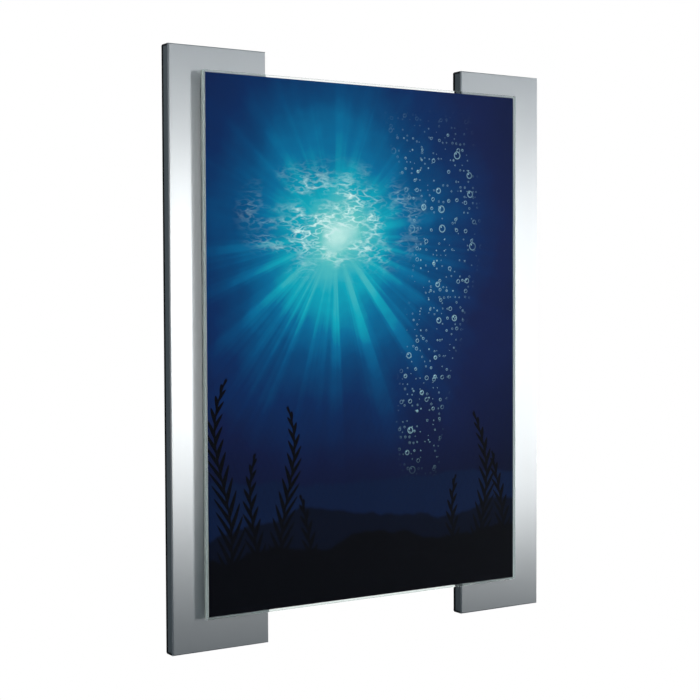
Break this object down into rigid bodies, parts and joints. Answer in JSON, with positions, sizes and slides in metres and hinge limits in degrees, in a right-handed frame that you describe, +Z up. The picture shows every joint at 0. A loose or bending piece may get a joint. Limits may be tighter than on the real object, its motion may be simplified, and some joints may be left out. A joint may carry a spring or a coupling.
{
  "type": "poster frame",
  "caption": "Wall poster frame: two upright metal rails carry a clear pocket panel on hidden keyhole hangers, and the poster slides out of its open top.",
  "frame": {"origin": "on the wall plane, in the middle of the four wall screw holes", "axes": "+X to the viewer's right, +Y into the wall, +Z up"},
  "size_m": [0.6, 0.031, 0.78],
  "materials": {
    "rail_aluminium": "satin anodised, very fine upright brushing",
    "channel_grey": "extruded aluminium, dark grey powder coat with a fine texture",
    "wall_bar_black": "black, matt",
    "cap_black": "black, fine moulded grain",
    "screw_steel": "bright zinc",
    "stud_steel": "turned steel",
    "zinc_steel": "bright zinc",
    "hanger_steel": "galvanised sheet",
    "clear_front": "clear acrylic, polished edges with a pale green cast",
    "clear_back": "clear acrylic, sawn and flamed edges with a green cast",
    "bond_strip": "clear double-sided strip",
    "bumper_rubber": "black, matt",
    "poster_print": null
  },
  "bodies": {
    "rails": {"left_face": "rail_aluminium", "right_face": "rail_aluminium", "left_channel": "channel_grey", "right_channel": "channel_grey", "left_wall_bar": "wall_bar_black", "right_wall_bar": "wall_bar_black", "left_top_cap": "cap_black", "left_bottom_cap": "cap_black", "right_top_cap": "cap_black", "right_bottom_cap": "cap_black", "cap_screws": "screw_steel", "hanging_studs": "stud_steel", "stud_washers": "zinc_steel", "stud_nuts": "zinc_steel"},
    "panel": {"front_sheet": "clear_front", "back_sheet": "clear_back", "left_spacer": "bond_strip", "right_spacer": "bond_strip", "bottom_spacer": "bond_strip", "upper_left_hanger": "hanger_steel", "upper_right_hanger": "hanger_steel", "lower_left_hanger": "hanger_steel", "lower_right_hanger": "hanger_steel", "hanger_screws": "screw_steel", "bumpers": "bumper_rubber"},
    "poster": {"poster": "poster_print"}
  },
  "joints": [
    {"name": "panel_lift", "type": "slide", "parent": "rails", "child": "panel", "axis": [0, 0, 1], "range_m": [0, 0.012]},
    {"name": "poster_slide", "type": "slide", "parent": "panel", "child": "poster", "axis": [0, 0, 1], "range_m": [0, 0.71]}
  ]
}
